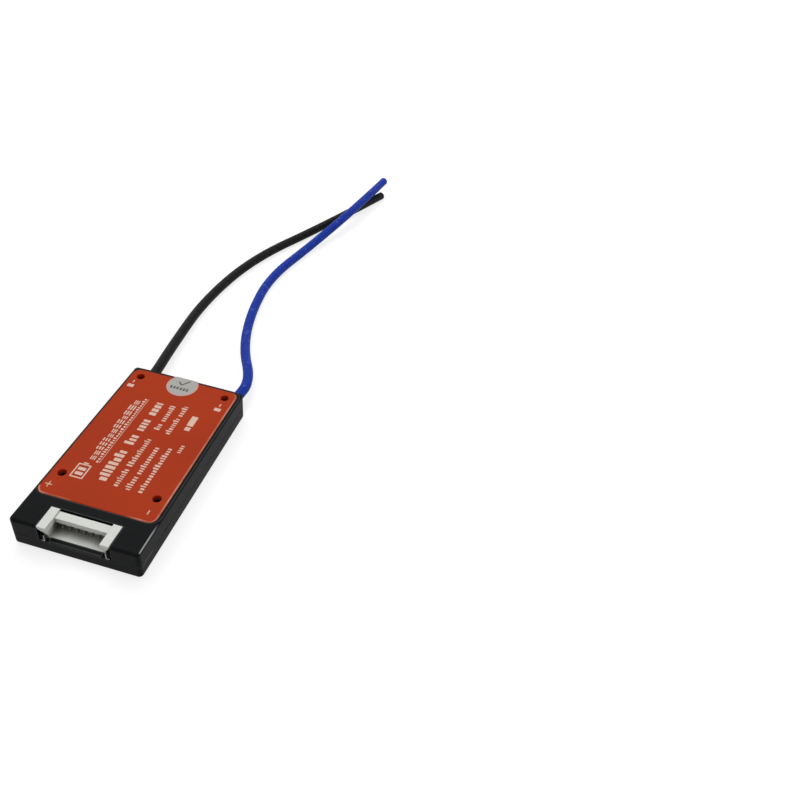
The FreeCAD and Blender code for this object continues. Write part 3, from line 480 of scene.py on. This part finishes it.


# The middle of the painted highlight on the top edge, and how far from there it starts and is full
HIGHLIGHT_PLACE = (17.4 * MM, -28.5 * MM, 9.2 * MM)
HIGHLIGHT_REACH = 7 * MM
HIGHLIGHT_CORE = 2.1 * MM
# The slope of the rounded top edge, and the cosines between which the painted highlight line fades in
# on it
EDGE_SLOPE = (math.sqrt(0.5), 0.0, math.sqrt(0.5))
LINE_OUTSIDE = 0.95
LINE_INSIDE = 0.995

shell_plastic, shader = plain_material("shell_plastic")
grain = place_group(
    shell_plastic, surface_grain,
    {"Grain Size": 0.35 * MM, "Cloud Size": 9 * MM, "Roughness": 0.42, "Spread": 0.2},
)
edge_wear_and_sheen_mask = place_group(
    shell_plastic, edge_wear_and_sheen, {"Width": 0.45 * MM, "Gain": 16.0, "Patch Size": 5 * MM}
)
specks = place_group(shell_plastic, dust, {"Speck Spacing": 1.7 * MM, "Speck Share": 0.05})
place = shell_plastic.node_tree.nodes.new("ShaderNodeTexCoord")
away = shell_plastic.node_tree.nodes.new("ShaderNodeVectorMath")
away.operation = "DISTANCE"
away.inputs[1].default_value = HIGHLIGHT_PLACE
surface = shell_plastic.node_tree.nodes.new("ShaderNodeNewGeometry")
slope = shell_plastic.node_tree.nodes.new("ShaderNodeVectorMath")
slope.operation = "DOT_PRODUCT"
slope.inputs[1].default_value = EDGE_SLOPE
link(
    shell_plastic,
    (place.outputs["Object"], away.inputs[0]),
    (surface.outputs["Normal"], slope.inputs[0]),
)
painted_highlight = joined(
    shell_plastic, "MULTIPLY",
    faded(shell_plastic, away.outputs["Value"], start=HIGHLIGHT_REACH, full=HIGHLIGHT_CORE),
    faded(shell_plastic, slope.outputs["Value"], start=LINE_OUTSIDE, full=LINE_INSIDE),
)
# The paler edges are partly rubbed wear and partly a painted highlight along the case's edges
wear_and_sheen = scaled(shell_plastic, edge_wear_and_sheen_mask.outputs["Mask"], amount=0.7)
dusty = scaled(shell_plastic, specks.outputs["Mask"], amount=0.3)
base = mix_colours(shell_plastic, grain.outputs["Cloud"], colour(8, 9, 10), colour(25, 26, 28))
base = mix_colours(shell_plastic, wear_and_sheen, base, colour(104, 106, 108))
# A painted highlight on the right top edge by the front corner
base = mix_colours(shell_plastic, painted_highlight, base, colour(176, 178, 180))
base = mix_colours(shell_plastic, dusty, base, colour(140, 138, 132))
shader.inputs["Specular IOR Level"].default_value = 0.04
dress_shader(shell_plastic, shader, base, grain, depth=0.02 * MM, strength=0.5)
finish_node("top_shell", shell_plastic)
finish_node("bottom_shell", shell_plastic)

# Heat plate: a stamped aluminium sheet with a red satin coat, set in the recess of the top shell.
# A painted highlight runs pale along the coat's right edge and front corners, and a dark border, partly
# painted shade, runs along all but its front edge.
PLATE_LOW, PLATE_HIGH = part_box("heatsink_plate")
PLATE_TOP = PLATE_HIGH[2]
# The red face ends short of the plate's edge, and the dark border beyond it looks like a wider rim and
# is partly painted shade along the plate's edge
LEFT_BORDER = 0.45 * MM
RIGHT_BORDER = 0.6 * MM
REAR_BORDER = 0.85 * MM
FACE_LOW = Vector((PLATE_LOW[0] + LEFT_BORDER, PLATE_LOW[1], 0.0))
FACE_HIGH = Vector((PLATE_HIGH[0] - RIGHT_BORDER, PLATE_HIGH[1] - REAR_BORDER, 0.0))
FACE_CORNER = 2.2 * MM
# axis, where a strip or corner of the painted highlight starts, and where it is full
FRONT_EDGE = ("Y", PLATE_LOW[1] + 2.4 * MM, PLATE_LOW[1] + 2.0 * MM)
RIGHT_EDGE = ("X", PLATE_HIGH[0] - 2.4 * MM, PLATE_HIGH[0] - 2.0 * MM)
LEFT_CORNER = ("X", PLATE_LOW[0] + 12 * MM, PLATE_LOW[0] + 6 * MM)
RIGHT_CORNER = ("X", PLATE_HIGH[0] - 9 * MM, PLATE_HIGH[0] - 4 * MM)


def past_outline(material, place, low, high, corner):
    """How far a point lies outside a flat outline with round corners, and below 0 inside it."""
    steps = [
        ("SUBTRACT", (low + high) / 2), ("ABSOLUTE", None),
        ("SUBTRACT", (high - low) / 2 - Vector((corner, corner, 0.0))),
        ("MAXIMUM", (0.0, 0.0, 0.0)), ("MULTIPLY", (1.0, 1.0, 0.0)), ("LENGTH", None),
    ]
    value = place
    for operation, amount in steps:
        step = material.node_tree.nodes.new("ShaderNodeVectorMath")
        step.operation = operation
        link(material, (value, step.inputs[0]))
        if amount is not None:
            step.inputs[1].default_value = amount
        value = step.outputs["Value" if operation == "LENGTH" else "Vector"]
    past = material.node_tree.nodes.new("ShaderNodeMath")
    past.operation = "SUBTRACT"
    past.inputs[1].default_value = corner
    link(material, (value, past.inputs[0]))
    return past.outputs[0]


plate_coat, shader = plain_material("plate_coat")
shader.inputs["Specular IOR Level"].default_value = 0.07
grain = place_group(
    plate_coat, surface_grain,
    {"Grain Size": 0.3 * MM, "Cloud Size": 22 * MM, "Roughness": 0.4, "Spread": 0.14},
)
highlight_cloud = place_group(
    plate_coat, surface_grain,
    {"Grain Size": 0.3 * MM, "Cloud Size": 6 * MM, "Roughness": 0.4, "Spread": 0.1},
)
specks = place_group(plate_coat, dust, {"Speck Spacing": 2.3 * MM, "Speck Share": 0.035})
place = plate_coat.node_tree.nodes.new("ShaderNodeTexCoord")
axes = plate_coat.node_tree.nodes.new("ShaderNodeSeparateXYZ")
link(plate_coat, (place.outputs["Object"], axes.inputs["Vector"]))
front, right, left_corner, right_corner = (
    faded(plate_coat, axes.outputs[axis], edge_start, edge_full)
    for axis, edge_start, edge_full in (FRONT_EDGE, RIGHT_EDGE, LEFT_CORNER, RIGHT_CORNER)
)
front_corners = joined(
    plate_coat, "MULTIPLY", front, joined(plate_coat, "MAXIMUM", left_corner, right_corner)
)
past_face = past_outline(plate_coat, place.outputs["Object"], FACE_LOW, FACE_HIGH, FACE_CORNER)
near_border = faded(plate_coat, past_face, start=-0.6 * MM, full=-0.25 * MM)
uneven = faded(plate_coat, highlight_cloud.outputs["Cloud"], start=0.2, full=0.6)
painted_edge_highlight = joined(plate_coat, "MAXIMUM", front_corners, right)
painted_edge_highlight = joined(plate_coat, "MULTIPLY", painted_edge_highlight, near_border)
painted_edge_highlight = joined(plate_coat, "MULTIPLY", painted_edge_highlight, uneven)
painted_edge_highlight = scaled(plate_coat, painted_edge_highlight, amount=0.8)
rim_and_shade_border = faded(plate_coat, past_face, start=-0.08 * MM, full=0.1 * MM)
dusty = scaled(plate_coat, specks.outputs["Mask"], amount=0.35)
base = mix_colours(plate_coat, grain.outputs["Cloud"], colour(176, 50, 10), colour(196, 62, 12))
# A painted highlight along the right edge and the front corners
base = mix_colours(plate_coat, painted_edge_highlight, base, colour(240, 160, 132))
# A dark border: a wider rim of the case, and painted shade along the plate's edge
base = mix_colours(plate_coat, rim_and_shade_border, base, colour(20, 17, 18))
base = mix_colours(plate_coat, dusty, base, colour(214, 140, 120))
dress_shader(plate_coat, shader, base, grain, depth=0.015 * MM, strength=0.4)
finish_node("heatsink_plate", plate_coat)

# Print on the heat plate: rows of plain bars with a plain battery outline at their head, and plain
# marks at the corners. It is pale pink ink, screen printed in one pass, so it is thin, slightly
# uneven and matt.
INK_THICKNESS = 0.02 * MM
# How much of a bar's shorter side its corners are cut by, and the most that they are
CORNER_SHARE = 0.2
CORNER_CUT = 0.14 * MM
# The heights of bars as shares of their row's, and their lengths as shares of the mean one
BAR_HEIGHTS = (0.72, 0.72, 1.0)
BAR_LENGTHS = (0.7, 1.3)
ROW_SEED = 7
# How much of the way from one stroke of a bar to the next is gap
STROKE_GAP = 0.45
# across, start along, end along, height of the row, mean length of a bar, gap between bars, all in
# millimetres, and the number of strokes that each bar is split into
PRINT_ROWS = [
    (-9.6, -7.6, 19.6, 2.0, 1.7, 0.5, 3),
    (-7.7, -8.2, 20.0, 0.9, 0.6, 0.4, 1),
    (-3.3, -13.5, -1.2, 2.9, 1.0, 0.5, 1),
    (-3.3, 1.2, 5.0, 2.9, 1.1, 0.5, 1),
    (-3.3, 7.2, 12.6, 2.9, 1.0, 0.45, 1),
    (-3.3, 14.2, 19.8, 2.9, 1.0, 0.45, 1),
    (1.1, -14.2, -7.6, 1.7, 0.5, 0.42, 1),
    (1.1, -6.4, 5.4, 1.7, 0.5, 0.42, 1),
    (1.1, 9.2, 11.9, 1.7, 0.5, 0.42, 1),
    (1.1, 13.0, 20.2, 1.7, 0.5, 0.42, 1),
    (4.7, -14.3, -9.4, 1.7, 0.5, 0.42, 1),
    (4.7, -8.2, 2.9, 1.7, 0.5, 0.42, 1),
    (4.7, 8.6, 15.4, 1.7, 0.5, 0.42, 1),
    (4.7, 16.6, 21.0, 1.7, 0.5, 0.42, 1),
    (8.2, -14.2, 3.5, 1.6, 0.55, 0.42, 1),
    (11.0, 2.8, 6.2, 1.4, 0.5, 0.4, 1),
]


def ink_bar(mesh, across, along, width, length, level, turn=0.0):
    """A thin flat bar with cut corners, its middle at one point, turned to the left by an angle."""
    corner = min(CORNER_SHARE * min(width, length), CORNER_CUT)
    half_width = width / 2
    half_length = length / 2
    ring = [
        (half_width - corner, -half_length), (half_width, -half_length + corner),
        (half_width, half_length - corner), (half_width - corner, half_length),
        (-half_width + corner, half_length), (-half_width, half_length - corner),
        (-half_width, -half_length + corner), (-half_width + corner, -half_length),
    ]
    flat_turn = Matrix.Rotation(turn, 2)
    ring = [Vector((across, along)) + flat_turn @ Vector(point) for point in ring]
    lower = [mesh.verts.new((x, y, level)) for x, y in ring]
    upper = [mesh.verts.new((x, y, level + INK_THICKNESS)) for x, y in ring]
    mesh.faces.new(upper)
    mesh.faces.new(reversed(lower))
    for i in range(len(ring)):
        after = (i + 1) % len(ring)
        mesh.faces.new((lower[i], lower[after], upper[after], upper[i]))


def printed_piece(name, mesh, material):
    """Finishes a piece of print, fixed to the case's body."""
    data = bpy.data.meshes.new(name)
    mesh.to_mesh(data)
    mesh.free()
    data.materials.append(material)
    piece = bpy.data.objects.new(name, data)
    bpy.context.scene.collection.objects.link(piece)
    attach(piece, "root")
    return piece


plate_ink, shader = plain_material("plate_ink")
grain = place_group(
    plate_ink, surface_grain,
    {"Grain Size": 0.25 * MM, "Cloud Size": 1.5 * MM, "Roughness": 0.6, "Spread": 0.2},
)
base = mix_colours(plate_ink, grain.outputs["Cloud"], colour(236, 188, 166), colour(246, 216, 198))
dress_shader(plate_ink, shader, base, grain, depth=0.01 * MM, strength=0.4)

rows = bmesh.new()
shuffle = random.Random(ROW_SEED)
for across, start, end, height, bar, gap, strokes in PRINT_ROWS:
    along = start
    while along < end - 0.5 * bar:
        length = min(bar * shuffle.uniform(*BAR_LENGTHS), end - along)
        tall = height * shuffle.choice(BAR_HEIGHTS)
        foot = across + height / 2
        pitch = tall / (strokes - STROKE_GAP)
        for i in range(strokes):
            stroke = pitch * (1 - STROKE_GAP)
            middle = foot - pitch * i - stroke / 2
            ink_bar(rows, middle * MM, (along + length / 2) * MM, stroke * MM, length * MM, PLATE_TOP)
        along += length + gap
printed_piece("plate_print_rows", rows, plate_ink)

# across and along of the middle, width and length of each stroke, in millimetres
PRINT_STROKES = [
    (-15.0, -19.3, 0.24, 2.0),
    (-15.56, -19.3, 0.88, 0.24),
    (-14.44, -19.3, 0.88, 0.24),
    (13.7, -19.5, 0.3, 1.5),
    (-14.9, 24.0, 2.0, 1.3),
    (-14.9, 26.0, 0.36, 1.2),
    (13.7, 23.2, 2.0, 1.3),
    (13.7, 25.2, 0.36, 1.2),
    (-6.85, 6.0, 0.14, 28.0),
    (9.2, 12.5, 1.6, 1.5),
    (9.2, 15.9, 1.9, 4.2),
    (-11.6, -12.4, 0.4, 5.2),
    (-8.2, -12.4, 0.4, 5.2),
    (-9.9, -14.8, 2.98, 0.4),
    (-9.9, -10.0, 2.98, 0.4),
    (-9.9, -9.4, 1.5, 0.5),
    (-9.9, -13.3, 2.2, 1.1),
    (-9.9, -11.6, 2.2, 1.1),
]
plate_marks = bmesh.new()
for across, along, width, length in PRINT_STROKES:
    ink_bar(plate_marks, across * MM, along * MM, width * MM, length * MM, PLATE_TOP)
printed_piece("plate_print_marks", plate_marks, plate_ink)

# Sticker: a round of silver paper, stuck on the plate and folded down over the rear edge.
# A thin rose rim is printed round its grey middle, which holds a tick over a row of plain dashes.
STICKER_RADIUS = 4.8 * MM
STICKER_X = -0.5 * MM
STICKER_Y = 29.3 * MM
RIM_WIDTH = 0.4 * MM
# The rim runs round the flat part, from its rear left end by the front to its rear right end
RIM_ENDS = (math.radians(140), math.radians(400))
RIM_STEPS = 48
sticker_paper, shader = plain_material("sticker_paper")
grain = place_group(
    sticker_paper, surface_grain,
    {"Grain Size": 0.3 * MM, "Cloud Size": 3 * MM, "Roughness": 0.42, "Spread": 0.3},
)
base = mix_colours(sticker_paper, grain.outputs["Cloud"], colour(172, 169, 163), colour(186, 183, 178))
dress_shader(sticker_paper, shader, base, grain, depth=0.02 * MM, strength=0.5)
finish_node("inspection_sticker", sticker_paper)
STICKER_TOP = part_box("inspection_sticker")[1][2]


def sticker_ink(name, dark, light):
    """Thin matt ink on the paper."""
    material, shader = plain_material(name)
    grain = place_group(
        material, surface_grain,
        {"Grain Size": 0.2 * MM, "Cloud Size": 1 * MM, "Roughness": 0.6, "Spread": 0.2},
    )
    base = mix_colours(material, grain.outputs["Cloud"], dark, light)
    link(
        material,
        (base, shader.inputs["Base Color"]),
        (grain.outputs["Roughness"], shader.inputs["Roughness"]),
    )
    return material


rim = bmesh.new()
corners = []
for i in range(RIM_STEPS + 1):
    angle = RIM_ENDS[0] + (RIM_ENDS[1] - RIM_ENDS[0]) * i / RIM_STEPS
    for reach in (STICKER_RADIUS, STICKER_RADIUS - RIM_WIDTH):
        across = STICKER_X + reach * math.cos(angle)
        along = STICKER_Y + reach * math.sin(angle)
        for level in (STICKER_TOP, STICKER_TOP + INK_THICKNESS):
            corners.append(rim.verts.new((across, along, level)))
for i in range(RIM_STEPS):
    outer_low, outer_high, inner_low, inner_high = corners[4 * i:4 * i + 4]
    next_outer_low, next_outer_high, next_inner_low, next_inner_high = corners[4 * i + 4:4 * i + 8]
    rim.faces.new((outer_high, next_outer_high, next_inner_high, inner_high))
    rim.faces.new((outer_low, next_outer_low, next_outer_high, outer_high))
    rim.faces.new((inner_high, next_inner_high, next_inner_low, inner_low))
    rim.faces.new((inner_low, next_inner_low, next_outer_low, outer_low))
for end in (corners[:4], corners[-4:]):
    rim.faces.new((end[0], end[1], end[3], end[2]))
bmesh.ops.recalc_face_normals(rim, faces=rim.faces)
rose_ink = sticker_ink("rose_ink", colour(216, 152, 144), colour(230, 172, 164))
printed_piece("sticker_rim", rim, rose_ink)

# across and along from the sticker's middle, width and length of each stroke, all in millimetres,
# and its turn in degrees
STICKER_STROKES = [
    (-1.1, 0.85, 0.5, 1.6, 42.0),
    (0.5, 1.35, 0.5, 3.1, -38.0),
]
# across from the sticker's middle of each dash in the row under the tick, along to the row, and the
# width and length of a dash, all in millimetres
STICKER_DASHES = (-2.9, -1.9, -0.9, 0.2, 1.2, 2.2)
DASH_ROW = -1.5
DASH_WIDTH = 0.66
DASH_LENGTH = 1.2
sticker_marks = bmesh.new()
for across, along, width, length, turn in STICKER_STROKES:
    ink_bar(
        sticker_marks, STICKER_X + across * MM, STICKER_Y + along * MM, width * MM, length * MM,
        STICKER_TOP, math.radians(turn),
    )
for across in STICKER_DASHES:
    ink_bar(
        sticker_marks, STICKER_X + across * MM, STICKER_Y + DASH_ROW * MM, DASH_WIDTH * MM,
        DASH_LENGTH * MM, STICKER_TOP,
    )
grey_ink = sticker_ink("grey_ink", colour(66, 70, 66), colour(92, 96, 90))
printed_piece("sticker_marks", sticker_marks, grey_ink)

# Header: a shroud of pale nylon with eight square tinned pins and two side tabs, soldered to the board.
# The nylon is matt with painted shade deep in its mouth, the tabs are dull tin, and the pins are
# darkened by painted shade.
MOUTH_DEPTH = 5 * MM
# How open the air round a point is, where the painted shade is deepest in the mouth and where it ends
DEEP_AIR = 0.2
FREE_AIR = 0.75

header_nylon, shader = plain_material("header_nylon")
grain = place_group(
    header_nylon, surface_grain,
    {"Grain Size": 0.25 * MM, "Cloud Size": 3 * MM, "Roughness": 0.48, "Spread": 0.2},
)
edge_wear_and_sheen_mask = place_group(header_nylon, edge_wear_and_sheen, {"Width": 0.15 * MM, "Gain": 5.0, "Patch Size": 1.5 * MM})
base = mix_colours(header_nylon, grain.outputs["Cloud"], colour(232, 234, 227), colour(242, 244, 238))
wear_and_sheen = scaled(header_nylon, edge_wear_and_sheen_mask.outputs["Mask"], amount=0.6)
base = mix_colours(header_nylon, wear_and_sheen, base, colour(250, 251, 248))
mouth_occlusion = header_nylon.node_tree.nodes.new("ShaderNodeAmbientOcclusion")
mouth_occlusion.samples = 8
mouth_occlusion.inputs["Distance"].default_value = MOUTH_DEPTH
out_of_painted_shade = header_nylon.node_tree.nodes.new("ShaderNodeMapRange")
out_of_painted_shade.inputs["From Min"].default_value = DEEP_AIR
out_of_painted_shade.inputs["From Max"].default_value = FREE_AIR
link(header_nylon, (mouth_occlusion.outputs["AO"], out_of_painted_shade.inputs["Value"]))
# Painted shade: the nylon turns dark where the mouth closes round it
base = mix_colours(header_nylon, out_of_painted_shade.outputs["Result"], colour(88, 89, 86), base)
dress_shader(header_nylon, shader, base, grain, depth=0.015 * MM, strength=0.5)
finish_node("header_housing", header_nylon)

# The pins' tin is darker than the tabs' as painted shade deep in the mouth
pin_tin_painted_shade = metal("pin_tin_painted_shade", colour(66, 65, 62), colour(92, 90, 86), roughness=0.55)
tab_tin = metal("tab_tin", colour(112, 111, 107), colour(146, 144, 139), roughness=0.45)
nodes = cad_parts
for node_name in nodes:
    if node_name.startswith("header_pin"):
        finish_node(node_name, pin_tin_painted_shade)
    if node_name.startswith("header_tab"):
        finish_node(node_name, tab_tin)

# Circuit board and what is soldered on it: glass laminate with a green solder mask over the copper.
# It lies on the posts of the bottom shell, closed in by the top shell.


def dull_material(name, dark, light, roughness, cloud_size):
    """Moulded resin, fired ceramic, laminate or a soft pad: two near colours and a fine grain."""
    material, shader = plain_material(name)
    grain = place_group(
        material, surface_grain,
        {"Grain Size": 0.2 * MM, "Cloud Size": cloud_size, "Roughness": roughness, "Spread": 0.2},
    )
    base = mix_colours(material, grain.outputs["Cloud"], dark, light)
    dress_shader(material, shader, base, grain, depth=0.01 * MM, strength=0.5)
    return material


solder_mask = dull_material(
    "solder_mask", colour(14, 70, 36), colour(24, 92, 48), roughness=0.3, cloud_size=2 * MM
)
chip_resin = dull_material(
    "chip_resin", colour(24, 24, 26), colour(38, 38, 40), roughness=0.55, cloud_size=1 * MM
)
resistor_ceramic = dull_material(
    "resistor_ceramic", colour(30, 30, 34), colour(52, 52, 58), roughness=0.25, cloud_size=1 * MM
)
pad_silicone = dull_material(
    "pad_silicone", colour(120, 132, 150), colour(146, 158, 174), roughness=0.8, cloud_size=4 * MM
)
bright_solder = metal(
    "bright_solder", colour(186, 186, 184), colour(214, 214, 212), roughness=0.25
)
INNER_FINISHES = [
    ("circuit_board", solder_mask), ("mosfet", chip_resin), ("protection_chip", chip_resin),
    ("balance_transistor", chip_resin), ("balance_resistor", resistor_ceramic),
    ("shunt_resistor", resistor_ceramic), ("thermal_pad", pad_silicone),
    ("black_lead_solder", bright_solder), ("blue_lead_solder", bright_solder),
    ("black_lead_core", bare_copper), ("blue_lead_core", bare_copper),
]
for start, material in INNER_FINISHES:
    for node_name in nodes:
        if node_name.startswith(start):
            finish_node(node_name, material)
